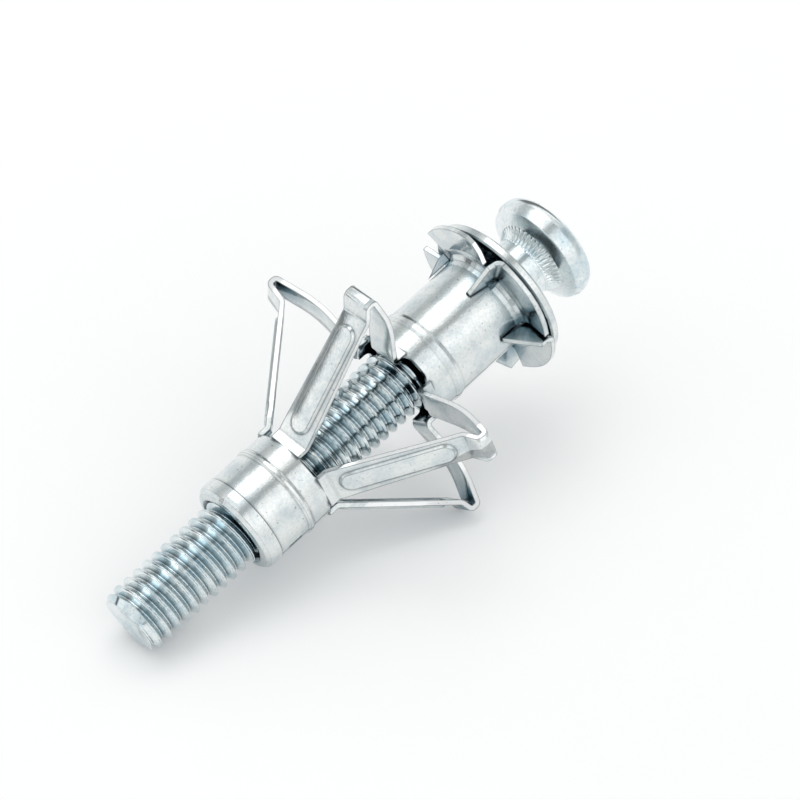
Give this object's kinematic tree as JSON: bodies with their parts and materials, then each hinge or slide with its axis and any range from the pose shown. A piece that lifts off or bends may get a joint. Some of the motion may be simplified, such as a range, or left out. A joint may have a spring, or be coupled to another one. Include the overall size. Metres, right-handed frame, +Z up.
{
  "type": "hollow wall anchor",
  "caption": "Metal cavity-wall anchor, set: a slit sleeve folded into spread legs behind a toothed collar, drawn up by a machine screw with a loose washer.",
  "frame": {"origin": "on the surface the anchor lies on, under the middle of its bounding box", "axes": "+Z up; the screw lies in the XZ plane with its head towards +X and raised, its axis leaning 15.47 degrees from +X; two leg tips and the screw's tip touch z = 0"},
  "size_m": [0.0656, 0.0348, 0.031],
  "materials": {
    "screw_steel": "bright zinc plating",
    "sleeve_steel": "blue-white zinc plating on rolled sheet",
    "nut_steel": "bright zinc plating",
    "washer_steel": "bright zinc plating"
  },
  "bodies": {
    "sleeve": {"sleeve": "sleeve_steel", "nut": "nut_steel"},
    "washer": {"washer": "washer_steel"},
    "screw": {"screw": "screw_steel"}
  },
  "joints": [
    {"name": "screw_turn", "type": "hinge", "parent": "sleeve", "child": "washer", "pos_m": [0.02231, 0, 0.0187], "axis": [0.9638, 0, 0.2668], "range_deg": [-1280, 4800]},
    {"name": "screw_advance", "type": "slide", "parent": "washer", "child": "screw", "axis": [0.9638, 0, 0.2668], "range_m": [-0.0048, 0.0215]}
  ],
  "couplings": [
    {"joint": "screw_advance", "follows": "screw_turn", "m_per_rad": 0.00021486}
  ]
}
